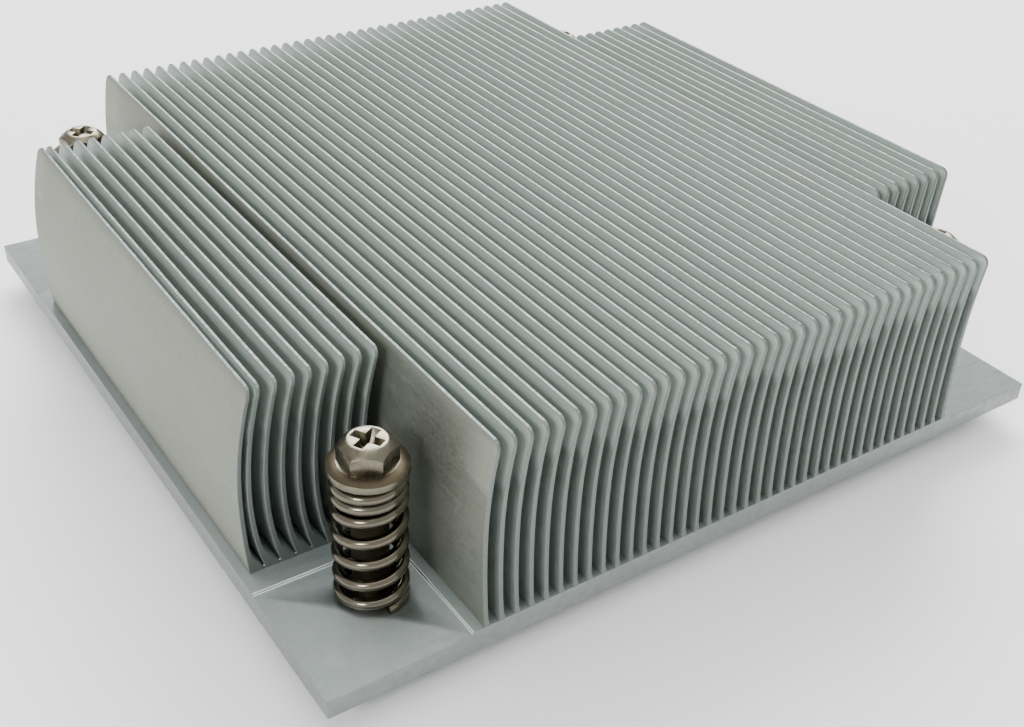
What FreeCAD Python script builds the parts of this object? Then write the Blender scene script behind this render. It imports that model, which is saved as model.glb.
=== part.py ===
"""Passive server processor heatsink: a skived aluminium body held down by four sprung captive screws.

Frame: origin at the centre of the base's underside, which lies on the processor; X across the fins,
Y along the fins, Z up towards the fin tips. Lengths are in millimetres.
"""
import FreeCAD
import Part
import math
import os
from types import SimpleNamespace

import Sketcher
from FreeCAD import Rotation, Vector

SHEET = "sizes"
SIZES = {
    "base_side": (95.0, "square base plate, edge to edge"),
    "hole_spacing": (75.0, "screw to screw, both ways"),
    "deck_height": (2.6, "base thickness under the fins"),
    "notch_floor": (2.3, "base thickness in the milled corners"),
    "land_height": (4.1, "thicker floor between the first fins"),
    "edge_break": (0.1, "chamfer round the underside"),
    "fin_top": (23.8, "fin tips above the underside"),
    "fin_thickness": (0.5, "one skived fin"),
    "left_margin": (1.27, "first fin's foot from the base's left edge"),
    "right_margin": (1.0, "last fin's foot from the base's right edge"),
    "left_clear": (6.725, "screw axis to the first long fin's foot"),
    "right_clear": (4.738, "screw axis to the last long fin's foot"),
    "left_fins": (9, "short fins between the left corners"),
    "long_fins": (38, "full-length fins"),
    "right_fins": (8, "short fins between the right corners"),
    "belly_height": (13.0, "height at which a fin stands upright"),
    "root_bend": (120.0, "bend radius below the belly"),
    "tip_bend": (51.0, "bend radius above the belly"),
    "left_belly_height": (11.5, "the same height on the left fins"),
    "left_root_bend": (24.0, "left fins' bend radius below the belly"),
    "outer_root_bend": (40.0, "the same radius on the outermost left fin, which is pressed inwards"),
    "left_tip_bend": (58.0, "left fins' bend radius above the belly"),
    "right_belly_height": (8.0, "the same height on the right fins"),
    "right_tip_bend": (150.0, "right fins' bend radius above the belly"),
    "left_reach": (6.6, "screw axis to the left notches' walls, along the fins"),
    "right_reach": (7.4, "screw axis to the right notches' walls, along the fins"),
    "ledge": (1.2, "strip of deck left in front of the notch walls"),
    "hole_clearance": (0.2, "hole wall to screw shank"),
    "seat_depth": (0.8, "retaining ring's seat in the underside"),
    "seat_clearance": (0.5, "seat wall to retaining ring"),
    "shank": (3.6, "screw shank diameter"),
    "thread": (3.0, "thread's outer diameter"),
    "tip_reach": (3.2, "screw tip below the underside"),
    "flange": (7.7, "screw flange diameter"),
    "flange_thickness": (1.0, "screw flange thickness"),
    "hexagon": (5.0, "hexagon across its flats"),
    "hexagon_height": (2.4, "hexagon above the flange"),
    "crown": (0.45, "chamfer round the top of the hexagon"),
    "recess_span": (3.2, "cross recess, tip to tip"),
    "recess_slot": (0.95, "cross recess, slot width"),
    "recess_depth": (1.5, "cross recess depth"),
    "recess_taper": (8.0, "draft of the cross recess, in degrees"),
    "ring_outer": (6.0, "retaining ring diameter"),
    "ring_thickness": (0.6, "retaining ring thickness"),
    "ring_mouth": (2.0, "opening that slips over the groove"),
    "groove": (2.3, "groove diameter in the screw"),
    "shoulder_play": (0.02, "ring's top face to the shank's shoulder"),
    "thread_relief": (0.15, "ring's underside to the start of the thread"),
    "groove_play": (0.03, "ring's bore to the groove's bottom"),
    "spring_outer": (7.4, "spring outside diameter"),
    "spring_wire": (1.15, "spring wire diameter"),
    "spring_length": (15.2, "spring between notch floor and flange"),
    "foot_turns": (1.0, "closed turns on the notch floor"),
    "open_turns": (4.1, "turns between the closed ends"),
    "head_turns": (2.5, "closed turns under the flange"),
}
# each corner's side along X and Y, and how far its screw has been turned, in degrees
CORNERS = {
    "front_left": (-1, -1, 29.0),
    "front_right": (1, -1, 16.0),
    "rear_left": (-1, 1, 41.0),
    "rear_right": (1, 1, -8.0),
}
OVERRUN = 1.0  # how far a cut runs past the face it opens
CHORDS_PER_TURN = 11
WIRE_SIDES = 6
CLOSED_RISE = 1.03  # rise of a closed turn, in wire diameters
GROUND_START = 0.25  # wire's centre above a ground end, in wire diameters
WIRE_START = -90.0  # where the spring's wire starts round the screw axis, in degrees


class Size:
    """A number together with the spreadsheet formula that gives it."""

    def __init__(self, number, formula=None):
        self.number = number
        self.formula = formula or repr(number)

    def joined(self, sign, other, number):
        return Size(number, f"({self.formula} {sign} {other.formula})")

    def __add__(self, other):
        other = as_size(other)
        return self.joined("+", other, self.number + other.number)

    def __sub__(self, other):
        other = as_size(other)
        return self.joined("-", other, self.number - other.number)

    def __mul__(self, other):
        other = as_size(other)
        return self.joined("*", other, self.number * other.number)

    def __truediv__(self, other):
        other = as_size(other)
        return self.joined("/", other, self.number / other.number)

    def __neg__(self):
        return Size(-self.number, f"(0 - {self.formula})")

    def root(self):
        return Size(math.sqrt(self.number), f"sqrt({self.formula})")


def as_size(thing):
    return thing if isinstance(thing, Size) else Size(thing)


ZERO = Size(0.0)


def size_sheet(doc):
    """Fill the spreadsheet and return its sizes by name."""
    sheet = doc.addObject("Spreadsheet::Sheet", SHEET)
    for row, (name, (number, note)) in enumerate(SIZES.items(), start=1):
        sheet.set(f"A{row}", name)
        sheet.set(f"B{row}", str(number))
        sheet.set(f"C{row}", note)
        sheet.setAlias(f"B{row}", name)
    doc.recompute()
    return SimpleNamespace(**{name: Size(float(sheet.get(name)), f"{SHEET}.{name}") for name in SIZES})


def bind(thing, path, size):
    """Set one property to a size's number and tie it to the size's formula."""
    thing.setExpression(path, size.formula)


def new_body(doc, label):
    body = doc.addObject("PartDesign::Body", label)
    body.Label = label
    return body


def new_sketch(body, name, role, height=None):
    """A sketch on one of the body's own origin planes, lifted along the plane's normal."""
    sketch = body.newObject("Sketcher::SketchObject", name)
    plane = next(f for f in body.Origin.OriginFeatures if f.Role == role)
    sketch.AttachmentSupport = [(plane, "")]
    sketch.MapMode = "FlatFace"
    if height is not None:
        bind(sketch, "AttachmentOffset.Base.z", height)
    return sketch


def rule(sketch, *items):
    return sketch.addConstraint(Sketcher.Constraint(*items))


def dimension(sketch, kind, *items):
    """Add a driving dimension: the last item is its size, the others say what it measures."""
    *where, size = items
    index = rule(sketch, kind, *where, size.number)
    bind(sketch, f"Constraints[{index}]", size)


def hold(sketch, geometry, point, x, y):
    """Hold one point of the sketch at two sizes from the origin."""
    for kind, axis, size in (("DistanceX", -2, x), ("DistanceY", -1, y)):
        if size is ZERO:
            rule(sketch, "PointOnObject", geometry, point, axis)
        else:
            dimension(sketch, kind, -1, 1, geometry, point, size)


def outline(sketch, points):
    """Draw a closed outline of straight lines through points given as pairs of sizes."""
    first, count = sketch.GeometryCount, len(points)
    spots = [Vector(x.number, y.number, 0) for x, y in points]
    for i in range(count):
        sketch.addGeometry(Part.LineSegment(spots[i], spots[(i + 1) % count]), False)
    for i in range(count):
        rule(sketch, "Coincident", first + i, 2, first + (i + 1) % count, 1)
    for i, (x, y) in enumerate(points):
        hold(sketch, first + i, 1, x, y)


def rectangle(sketch, x0, y0, x1, y1):
    outline(sketch, [(x0, y0), (x1, y0), (x1, y1), (x0, y1)])


def circle(sketch, x, y, diameter):
    spot = Vector(x.number, y.number, 0)
    index = sketch.addGeometry(Part.Circle(spot, Vector(0, 0, 1), diameter.number / 2), False)
    hold(sketch, index, 3, x, y)
    dimension(sketch, "Diameter", index, diameter)


def pad(body, sketch, name, length, midplane=False):
    feature = body.newObject("PartDesign::Pad", name)
    feature.Profile = sketch
    feature.Midplane = midplane
    bind(feature, "Length", length)
    return feature


def pocket(body, sketch, name, length, reverse=False, taper=None):
    """Cut a sketch out of the body, and stop if the cut takes nothing away."""
    body.Document.recompute()
    before = body.Shape.Volume
    feature = body.newObject("PartDesign::Pocket", name)
    feature.Profile = sketch
    feature.Reversed = reverse
    bind(feature, "Length", length)
    if taper is not None:
        bind(feature, "TaperAngle", taper)
    body.Document.recompute()
    if body.Shape.Volume >= before:
        raise RuntimeError(f"{name} cuts nothing")
    return feature


def along_x(body, feature, name, count, pitch):
    """Repeat a feature along X."""
    pattern = body.newObject("PartDesign::LinearPattern", name)
    pattern.Originals = [feature]
    pattern.Direction = (next(f for f in body.Origin.OriginFeatures if f.Role == "X_Axis"), [""])
    bind(pattern, "Occurrences", count)
    bind(pattern, "Length", (count - 1) * pitch)
    body.Tip = pattern
    return pattern


def lean(bend, rise):
    """How far an upright arc of this bend radius has leant over once it has risen this much."""
    return bend - (bend * bend - rise * rise).root()


def fin_section(body, name, sizes, first, belly, root, tip):
    """The curved section of a fin: two bends that meet upright at the belly and lean towards +X.

    first is where the first fin's belly stands, belly its height, root and tip the bend radii.
    """
    sketch = new_sketch(body, name, "XZ_Plane")
    half = sizes.fin_thickness / 2
    foot = math.asin((belly.number - sizes.notch_floor.number) / root.number)
    crest = math.asin((sizes.fin_top.number - belly.number) / tip.number)
    faces = []
    for offset in (half, -half):
        for bend, start, end in ((root, math.pi, math.pi + foot), (tip, math.pi - crest, math.pi)):
            centre = Vector(first.number + bend.number, belly.number, 0)
            arc = Part.Circle(centre, Vector(0, 0, 1), (bend + offset).number)
            faces.append(sketch.addGeometry(Part.ArcOfCircle(arc, start, end), False))
            dimension(sketch, "Radius", faces[-1], bend + offset)
    outer_low, outer_high, inner_low, inner_high = faces
    for low, high in ((outer_low, outer_high), (inner_low, inner_high)):
        rule(sketch, "Tangent", low, 1, high, 2)
        rule(sketch, "Horizontal", low, 1, low, 3)
    rule(sketch, "Coincident", inner_low, 3, outer_low, 3)
    hold(sketch, outer_low, 3, first + root, belly)
    for left, right, point, height in (
        (outer_high, inner_high, 1, sizes.fin_top),
        (outer_low, inner_low, 2, sizes.notch_floor),
    ):
        ends = [sketch.getPoint(face, point) for face in (left, right)]
        edge = sketch.addGeometry(Part.LineSegment(*ends), False)
        rule(sketch, "Coincident", edge, 1, left, point)
        rule(sketch, "Coincident", edge, 2, right, point)
        rule(sketch, "Horizontal", edge)
        dimension(sketch, "DistanceY", -1, 1, edge, 1, height)
    return sketch


def make_heatsink(doc, sizes):
    """Base plate with three runs of skived fins, milled corners and four counterbored screw holes."""
    body = new_body(doc, "heatsink")
    hole = sizes.hole_spacing / 2
    side = sizes.base_side / 2
    sketch = new_sketch(body, "base_outline", "XY_Plane")
    rectangle(sketch, -side, -side, side, side)
    base = pad(body, sketch, "base", sizes.deck_height)
    doc.recompute()
    rim = [f"Edge{i}" for i, e in enumerate(base.Shape.Edges, 1) if e.BoundBox.ZMax < 1e-6]
    chamfer = body.newObject("PartDesign::Chamfer", "underside_chamfer")
    chamfer.Base = (base, rim)
    bind(chamfer, "Size", sizes.edge_break)

    first_foot = sizes.left_margin - side
    last_foot = side - sizes.right_margin
    long_foot = sizes.left_clear - hole
    last_long_foot = hole - sizes.right_clear
    left_pitch = (long_foot - first_foot) / sizes.left_fins
    long_pitch = (last_long_foot - long_foot) / (sizes.long_fins - 1)
    right_pitch = (last_foot - last_long_foot) / sizes.right_fins
    right_foot = last_long_foot + right_pitch
    left_rise = sizes.left_belly_height - sizes.deck_height
    outer_left = first_foot - lean(sizes.outer_root_bend, left_rise)
    first_left = first_foot + left_pitch - lean(sizes.left_root_bend, left_rise)
    first_long = long_foot - lean(sizes.root_bend, sizes.belly_height - sizes.deck_height)
    first_right = right_foot - lean(sizes.root_bend, sizes.right_belly_height - sizes.deck_height)
    half = sizes.fin_thickness / 2
    left_wall = hole - sizes.left_reach
    right_wall = hole - sizes.right_reach

    sketch = new_sketch(body, "notch_floors", "XY_Plane", sizes.deck_height)
    for across, wall, inner in (
        (-1, left_wall, long_foot - half - sizes.ledge),
        (1, right_wall, last_long_foot + half + sizes.ledge),
    ):
        for end in (-1, 1):
            near, far = (wall + sizes.ledge) * end, (side + OVERRUN) * end
            rectangle(sketch, inner, near, (side + OVERRUN) * across, far)
    pocket(body, sketch, "notches", sizes.deck_height - sizes.notch_floor)

    upright = (sizes.belly_height, sizes.root_bend, sizes.tip_bend)
    right = (sizes.right_belly_height, sizes.root_bend, sizes.right_tip_bend)
    left = (sizes.left_belly_height, sizes.left_root_bend, sizes.left_tip_bend)
    pressed = (sizes.left_belly_height, sizes.outer_root_bend, sizes.left_tip_bend)
    section = fin_section(body, "outer_fin_section", sizes, outer_left, *pressed)
    pad(body, section, "outer_fin", left_wall * 2, midplane=True)
    doc.recompute()
    runs = (
        ("left", first_left, left, sizes.left_fins - 1, left_pitch, left_wall),
        ("long", first_long, upright, sizes.long_fins, long_pitch, side),
        ("right", first_right, right, sizes.right_fins, right_pitch, right_wall),
    )
    for name, first, shape, count, pitch, wall in runs:
        section = fin_section(body, f"{name}_fin_section", sizes, first, *shape)
        fin = pad(body, section, f"{name}_fin", wall * 2, midplane=True)
        doc.recompute()
        along_x(body, fin, f"{name}_fins", count, pitch)
        doc.recompute()

    sketch = new_sketch(body, "land_section", "XZ_Plane")
    middle = (sizes.deck_height + sizes.land_height) / 2
    near = outer_left + lean(sizes.outer_root_bend, sizes.left_belly_height - middle)
    rectangle(sketch, near, sizes.notch_floor, first_long + half, sizes.land_height)
    pad(body, sketch, "land", left_wall * 2, midplane=True)
    doc.recompute()

    sketch = new_sketch(body, "hole_centres", "XY_Plane")
    bore = sizes.shank + sizes.hole_clearance * 2
    for across, along, _ in CORNERS.values():
        circle(sketch, hole * across, hole * along, bore)
    doc.recompute()
    before = body.Shape.Volume
    holes = body.newObject("PartDesign::Hole", "screw_holes")
    holes.Profile = sketch
    holes.Reversed = True
    holes.DepthType = "ThroughAll"
    holes.HoleCutType = "Counterbore"
    holes.HoleCutCustomValues = True
    bind(holes, "Diameter", bore)
    bind(holes, "HoleCutDiameter", sizes.ring_outer + sizes.seat_clearance * 2)
    bind(holes, "HoleCutDepth", sizes.seat_depth)
    doc.recompute()
    if body.Shape.Volume >= before:
        raise RuntimeError("the screw holes cut nothing")
    return body


def make_screw(doc, label, sizes):
    """Captive screw: hexagon head with a cross recess, flange, shank, ring groove and threaded end."""
    body = new_body(doc, label)
    flange_under = sizes.notch_floor + sizes.spring_length
    flange_top = flange_under + sizes.flange_thickness
    head_top = flange_top + sizes.hexagon_height
    groove_top = sizes.seat_depth + sizes.shoulder_play
    groove_low = sizes.seat_depth - sizes.ring_thickness - sizes.thread_relief
    shank, thread = sizes.shank / 2, sizes.thread / 2
    flange, groove = sizes.flange / 2, sizes.groove / 2
    sketch = new_sketch(body, "turned_section", "XZ_Plane")
    outline(sketch, [
        (ZERO, -sizes.tip_reach),
        (thread, -sizes.tip_reach),
        (thread, groove_low),
        (groove, groove_low),
        (groove, groove_top),
        (shank, groove_top),
        (shank, flange_under),
        (flange, flange_under),
        (flange, flange_top),
        (ZERO, flange_top),
    ])
    turned = body.newObject("PartDesign::Revolution", "turned_form")
    turned.Profile = sketch
    turned.ReferenceAxis = (sketch, ["V_Axis"])
    turned.Angle = 360.0

    sketch = new_sketch(body, "hexagon_outline", "XY_Plane", flange_top)
    corner, flat = sizes.hexagon / math.sqrt(3), sizes.hexagon / 2
    outline(sketch, [
        (corner, ZERO),
        (corner / 2, flat),
        (-corner / 2, flat),
        (-corner, ZERO),
        (-corner / 2, -flat),
        (corner / 2, -flat),
    ])
    head = pad(body, sketch, "hexagon_head", sizes.hexagon_height)
    doc.recompute()
    top = [f"Edge{i}" for i, e in enumerate(head.Shape.Edges, 1) if e.BoundBox.ZMin > head_top.number - 1e-6]
    crown = body.newObject("PartDesign::Chamfer", "crown")
    crown.Base = (head, top)
    bind(crown, "Size", sizes.crown)

    sketch = new_sketch(body, "recess_outline", "XY_Plane", head_top)
    arm, slot = sizes.recess_span / 2, sizes.recess_slot / 2
    outline(sketch, [
        (slot, arm),
        (slot, slot),
        (arm, slot),
        (arm, -slot),
        (slot, -slot),
        (slot, -arm),
        (-slot, -arm),
        (-slot, -slot),
        (-arm, -slot),
        (-arm, slot),
        (-slot, slot),
        (-slot, arm),
    ])
    pocket(body, sketch, "cross_recess", sizes.recess_depth, taper=-sizes.recess_taper)
    return body


def make_ring(doc, label, sizes):
    """Retaining ring: an open washer that sits in the screw's groove under the base."""
    body = new_body(doc, label)
    underside = sizes.seat_depth - sizes.ring_thickness
    bore = sizes.groove + sizes.groove_play * 2
    sketch = new_sketch(body, "ring_outline", "XY_Plane", underside)
    circle(sketch, ZERO, ZERO, sizes.ring_outer)
    circle(sketch, ZERO, ZERO, bore)
    pad(body, sketch, "ring_disc", sizes.ring_thickness)
    sketch = new_sketch(body, "mouth_outline", "XY_Plane", underside)
    mouth, outside = sizes.ring_mouth / 2, sizes.ring_outer / 2 + OVERRUN
    rectangle(sketch, -mouth, ZERO, mouth, outside)
    pocket(body, sketch, "mouth", sizes.ring_thickness + OVERRUN, reverse=True)
    return body


def spring_route(sizes):
    """Points along the wire's centre: closed at the foot, then open, then closed under the flange."""
    wire, radius = sizes.spring_wire.number, sizes.spring_outer.number / 2
    feet, middle, heads = sizes.foot_turns.number, sizes.open_turns.number, sizes.head_turns.number
    low = GROUND_START * wire
    closed = CLOSED_RISE * wire
    rise = sizes.spring_length.number - 2 * low - closed * (feet + heads)
    turns = feet + middle + heads
    steps = round(turns * CHORDS_PER_TURN)
    points = []
    for step in range(steps + 1):
        turn = turns * step / steps
        opened = min(max(turn - feet, 0.0), middle)
        z = low + closed * (turn - opened) + rise * opened / middle
        angle = 2 * math.pi * turn
        reach = radius - wire / 2
        points.append(Vector(reach * math.cos(angle), reach * math.sin(angle), z))
    return points


def make_spring_stock(doc, sizes):
    """The coiled wire, and the slab between whose faces its ends are ground flat."""
    route = spring_route(sizes)
    path = doc.addObject("Part::Feature", "spring_route")
    path.Shape = Part.makePolygon(route)
    section = doc.addObject("Part::RegularPolygon", "wire_section")
    section.Polygon = WIRE_SIDES
    bind(section, "Circumradius", sizes.spring_wire / 2)
    section.Placement.Base = route[0]
    section.Placement.Rotation = Rotation(Vector(0, 0, 1), route[1] - route[0])
    coil = doc.addObject("Part::Sweep", "coiled_wire")
    coil.Sections = [section]
    coil.Spine = (path, [f"Edge{i + 1}" for i in range(len(route) - 1)])
    coil.Solid = True
    coil.Transition = "Right corner"
    slab = doc.addObject("Part::Cylinder", "grinding_slab")
    bind(slab, "Radius", sizes.spring_outer)
    bind(slab, "Height", sizes.spring_length)
    doc.recompute()
    return coil, slab


def make_spring(doc, label, stock):
    spring = doc.addObject("Part::Common", label)
    spring.Label = label
    spring.Base, spring.Tool = stock
    return spring


def stand_at(thing, sizes, across, along, turn=0.0, height=None):
    """Put a piece on its corner's screw axis."""
    reach = sizes.hole_spacing / 2
    bind(thing, "Placement.Base.x", reach * across)
    bind(thing, "Placement.Base.y", reach * along)
    if height is not None:
        bind(thing, "Placement.Base.z", height)
    bind(thing, "Placement.Rotation.Angle", Size(turn))


def check_and_export(doc, pieces):
    """Stop on anything that failed to build, then write one STEP file for each piece."""
    for thing in doc.Objects:
        if {"Invalid", "Error"} & set(thing.State):
            raise RuntimeError(f"{thing.Label} failed to build: {thing.State}")
    os.makedirs("parts", exist_ok=True)
    for piece in pieces:
        shape = piece.Shape
        if shape.isNull() or not shape.isValid() or len(shape.Solids) != 1:
            raise RuntimeError(f"{piece.Label} is not one valid solid")
        shape.exportStep(os.path.join("parts", f"{piece.Label}.step"))


def main():
    doc = FreeCAD.newDocument("heatsink_assembly")
    sizes = size_sheet(doc)
    pieces = [make_heatsink(doc, sizes)]
    stock = make_spring_stock(doc, sizes)
    for corner, (across, along, turn) in CORNERS.items():
        screw = make_screw(doc, f"screw_{corner}", sizes)
        ring = make_ring(doc, f"retaining_ring_{corner}", sizes)
        spring = make_spring(doc, f"spring_{corner}", stock)
        stand_at(screw, sizes, across, along, turn)
        stand_at(ring, sizes, across, along)
        stand_at(spring, sizes, across, along, WIRE_START, sizes.notch_floor)
        pieces += [screw, ring, spring]
    doc.recompute()
    check_and_export(doc, pieces)


main()
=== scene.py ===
"""Looks for a passive server processor heatsink: skived aluminium body, sprung captive screws.

The file is laid out as a Blender add-on and is run as a script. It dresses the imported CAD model,
which it loads first. Lengths are in metres, and angles given as plain numbers are in degrees.
"""

import math
from collections import namedtuple

import bmesh
import bpy
from bpy.props import FloatProperty, FloatVectorProperty, IntProperty, PointerProperty
from bpy.types import Operator, Panel, PropertyGroup
from mathutils import Matrix, Vector, noise


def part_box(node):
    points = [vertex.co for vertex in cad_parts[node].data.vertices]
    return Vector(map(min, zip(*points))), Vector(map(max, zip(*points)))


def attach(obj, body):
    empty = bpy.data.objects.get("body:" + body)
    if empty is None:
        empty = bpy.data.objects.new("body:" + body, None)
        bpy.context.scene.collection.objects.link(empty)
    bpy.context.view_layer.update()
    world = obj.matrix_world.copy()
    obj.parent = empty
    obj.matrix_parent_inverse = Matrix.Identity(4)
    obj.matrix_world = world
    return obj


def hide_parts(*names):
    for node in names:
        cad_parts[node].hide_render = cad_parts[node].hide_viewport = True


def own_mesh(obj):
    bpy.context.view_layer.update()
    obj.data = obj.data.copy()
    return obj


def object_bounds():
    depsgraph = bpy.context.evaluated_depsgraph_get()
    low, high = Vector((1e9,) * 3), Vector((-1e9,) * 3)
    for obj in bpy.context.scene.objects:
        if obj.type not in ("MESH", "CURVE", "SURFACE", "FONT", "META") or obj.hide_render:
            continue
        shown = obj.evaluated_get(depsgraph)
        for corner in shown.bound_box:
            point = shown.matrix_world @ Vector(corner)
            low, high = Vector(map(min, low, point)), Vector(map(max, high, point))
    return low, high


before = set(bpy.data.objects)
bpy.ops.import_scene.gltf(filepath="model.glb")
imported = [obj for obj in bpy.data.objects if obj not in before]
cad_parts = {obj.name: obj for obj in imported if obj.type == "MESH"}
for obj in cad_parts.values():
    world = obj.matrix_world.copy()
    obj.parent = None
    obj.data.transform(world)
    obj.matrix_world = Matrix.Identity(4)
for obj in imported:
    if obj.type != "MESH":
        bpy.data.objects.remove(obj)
cad_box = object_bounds()

bl_info = {
    "name": "Passive Heatsink",
    "version": (1, 0, 0),
    "blender": (4, 5, 0),
    "location": "View3D > Sidebar > Heatsink",
    "description": "Models and finishes a skived heatsink with sprung captive screws",
    "category": "Object",
}

MM = 0.001
HAIR, NEAR = 0.01 * MM, 0.1 * MM  # slack for telling faces and edges apart by their place
OVER = 1.0 * MM  # how far a cutter reaches past what it cuts
WELD = 1e-7  # points closer than this become one
FLATNESS = 0.5  # faces that turn less than this become one after a cut

SINK_LOW, SINK_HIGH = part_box("heatsink")
SPRING_LOW, SPRING_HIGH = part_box("spring_front_left")
SCREW_LOW, SCREW_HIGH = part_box("screw_front_left")
RING_LOW, RING_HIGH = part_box("retaining_ring_front_left")
TABLE_TOP = cad_box[0].z
CORNERS = ("front_left", "front_right", "rear_left", "rear_right")

# How far the screws' heads and the springs' lower ends are turned about their axes.
HEAD_TURNS = {"front_left": 29.0, "front_right": 16.0, "rear_left": 41.0, "rear_right": -8.0}
WIRE_START = -90.0


# ---------------------------------------------------------------- sizes, colours and stage


def length(name, millimetres, description):
    return FloatProperty(
        name=name,
        description=description,
        default=millimetres * MM,
        subtype="DISTANCE",
        unit="LENGTH",
        precision=5,
    )


def count(name, default, description):
    return IntProperty(name=name, description=description, default=default, min=1)


def amount(name, default, description):
    return FloatProperty(name=name, description=description, default=default, min=0.0)


def power(name, watts, description):
    return FloatProperty(name=name, description=description, default=watts, min=0.0, unit="POWER")


def point(name, default, description):
    return FloatVectorProperty(
        name=name,
        description=description,
        default=default,
        subtype="TRANSLATION",
        unit="LENGTH",
    )


def colour(name, default, description):
    return FloatVectorProperty(
        name=name,
        description=description,
        default=default,
        size=3,
        min=0.0,
        max=1.0,
        subtype="COLOR",
    )


class BodySizes(PropertyGroup):
    """Sizes of the skived body."""

    deck: length("Deck", 2.6, "Base thickness under the fins")
    notch_floor: length("Notch floor", 2.3, "Base thickness in the milled corners")
    land: length("Land", 3.0, "Thicker floor between the left fins")
    fin: length("Fin", 0.5, "Thickness of one fin")
    left_margin: length("Left margin", 1.27, "First fin's foot from the left edge")
    right_margin: length("Right margin", 1.0, "Last fin's foot from the right edge")
    left_fins: count("Left fins", 9, "Short fins between the left corners")
    long_fins: count("Long fins", 38, "Full-length fins")
    right_fins: count("Right fins", 8, "Short fins between the right corners")
    belly: length("Belly", 13.0, "Height at which a fin stands upright")
    root_bend: length("Root bend", 120.0, "Bend radius below the belly")
    tip_bend: length("Tip bend", 51.0, "Bend radius above the belly")
    left_belly: length("Left belly", 11.5, "The same height on the left fins")
    left_root_bend: length("Left root bend", 33.0, "Left fins' bend radius below the belly")
    outer_root_bend: length("Outer root bend", 82.0, "The same radius on the outermost left fin")
    left_tip_bend: length("Left tip bend", 41.0, "Left fins' bend radius above the belly")
    right_belly: length("Right belly", 8.0, "The same height on the right fins")
    right_tip_bend: length("Right tip bend", 150.0, "Right fins' bend radius above the belly")
    left_notch: length("Left notch", 18.0, "Left corner notches, along the fins")
    right_notch: length("Right notch", 17.4, "Right corner notches, along the fins")
    ledge: length("Ledge", 1.2, "Deck left beside the notch walls")
    left_shelf: length("Left shelf", 2.6, "Deck left in front of the left fins' ends")
    edge_break: length("Edge break", 0.1, "Chamfer round the underside")
    hole: length("Hole", 2.0, "Radius of the screw holes")
    seat: length("Seat", 3.5, "Radius of the retaining rings' seats")
    seat_depth: length("Seat depth", 0.8, "Depth of the retaining rings' seats")
    root_flare: length("Root flare", 0.25, "How far a fin's foot spreads into the gap")
    flare_height: length("Flare height", 0.6, "Height over which the foot spreads")
    left_flare: length("Left flare", 1.25, "How far a left fin's foot spreads into the gap")
    left_flare_height: length("Left flare height", 2.6, "Height over which that foot spreads")
    corner: length("Corner", 1.0, "Rounding of a fin's top corners")
    tip_ragged: length("Tip raggedness", 0.05, "Unevenness of the shaved tips")


class ScrewSizes(PropertyGroup):
    """Sizes of the captive screws and their retaining rings."""

    shank: length("Shank", 1.8, "Shank radius")
    thread: length("Thread", 1.5, "Thread's outer radius")
    thread_root: length("Thread root", 1.2, "Thread's root radius")
    thread_pitch: length("Thread pitch", 0.5, "Thread pitch")
    thread_top: length("Thread top", 0.05, "Where the thread starts, above the underside")
    groove: length("Groove", 1.15, "Ring groove radius")
    groove_top: length("Groove top", 0.82, "Shoulder above the ring")
    flange: length("Flange", 3.85, "Flange radius")
    flange_rim: length("Flange rim", 0.7, "Flange thickness at its rim")
    flange_rise: length("Flange rise", 0.3, "Slope from the rim up to the hexagon")
    hexagon: length("Hexagon", 5.0, "Hexagon across its flats")
    crown: length("Crown", 2.1, "Radius of the flat on top of the hexagon")
    crown_drop: length("Crown drop", 0.55, "Fall of the rounded crown at the hexagon's flats")
    recess: length("Recess", 3.2, "Cross recess, tip to tip")
    slot: length("Slot", 0.95, "Cross recess slot width")
    recess_depth: length("Recess depth", 1.5, "Cross recess depth")
    ring: length("Ring", 3.0, "Retaining ring radius")
    ring_bore: length("Ring bore", 1.18, "Retaining ring bore radius")
    ring_mouth: length("Ring mouth", 2.0, "Opening that slips over the groove")
    ring_relief: length("Ring relief", 0.75, "Radius of the ring's two reliefs")


class SpringSizes(PropertyGroup):
    """Sizes of the compression springs."""

    outer: length("Outer", 3.7, "Outside radius")
    wire: length("Wire", 1.15, "Wire diameter")
    foot_turns: amount("Foot turns", 1.0, "Turns that touch at the foot")
    open_turns: amount("Open turns", 4.1, "Turns between the closed ends")
    head_turns: amount("Head turns", 2.5, "Turns that touch under the flange")
    travel: length("Travel", 5.0, "How far the screw presses the spring")


class Finishes(PropertyGroup):
    """Colours of the metals and of the film on them, and of painted light and shade on some faces.
    """

    # The shaved aluminium comes in two copies: a lighter one inside the gaps, which is painted
    # light where the gaps lie in shade, and a darker one on faces that stand free, which is painted
    # shade where light falls on them.
    aluminium: colour("Aluminium", (0.370, 0.420, 0.388), "Shaved faces inside the gaps")
    outer: colour("Outer faces", (0.245, 0.260, 0.220), "Shaved faces that stand free")
    # The fin tips' dark colour is painted shade that dims the light falling on them from above and
    # behind.
    cut: colour("Cut aluminium", (0.090, 0.105, 0.100), "Fin tips")
    end: colour("Fin ends", (0.195, 0.218, 0.210), "Sawn ends of the fins")
    milled: colour("Milled aluminium", (0.250, 0.286, 0.276), "Floors, deck and underside")
    # The step's bright colour is a painted highlight along the foot of each notch wall.
    edge: colour("Bright edge", (0.72, 0.76, 0.74), "Step between corner floors and deck")
    side: colour("Sawn sides", (0.262, 0.287, 0.275), "Edges of the base")
    nickel: colour("Nickel", (0.165, 0.152, 0.112), "Plated screws")
    # The dark colour on the flange's slope and on the shank is painted shade: it dims the flange's
    # reflections and darkens the shank seen between the spring's coils.
    shaded_nickel: colour("Tarnish", (0.058, 0.048, 0.030), "Dull flange top and oiled shank")
    wire: colour("Wire", (0.135, 0.122, 0.092), "Spring wire")
    steel: colour("Steel", (0.50, 0.49, 0.47), "Retaining rings")
    grime: colour("Grime", (0.075, 0.055, 0.038), "Dark film on screws, springs and rings")


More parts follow.
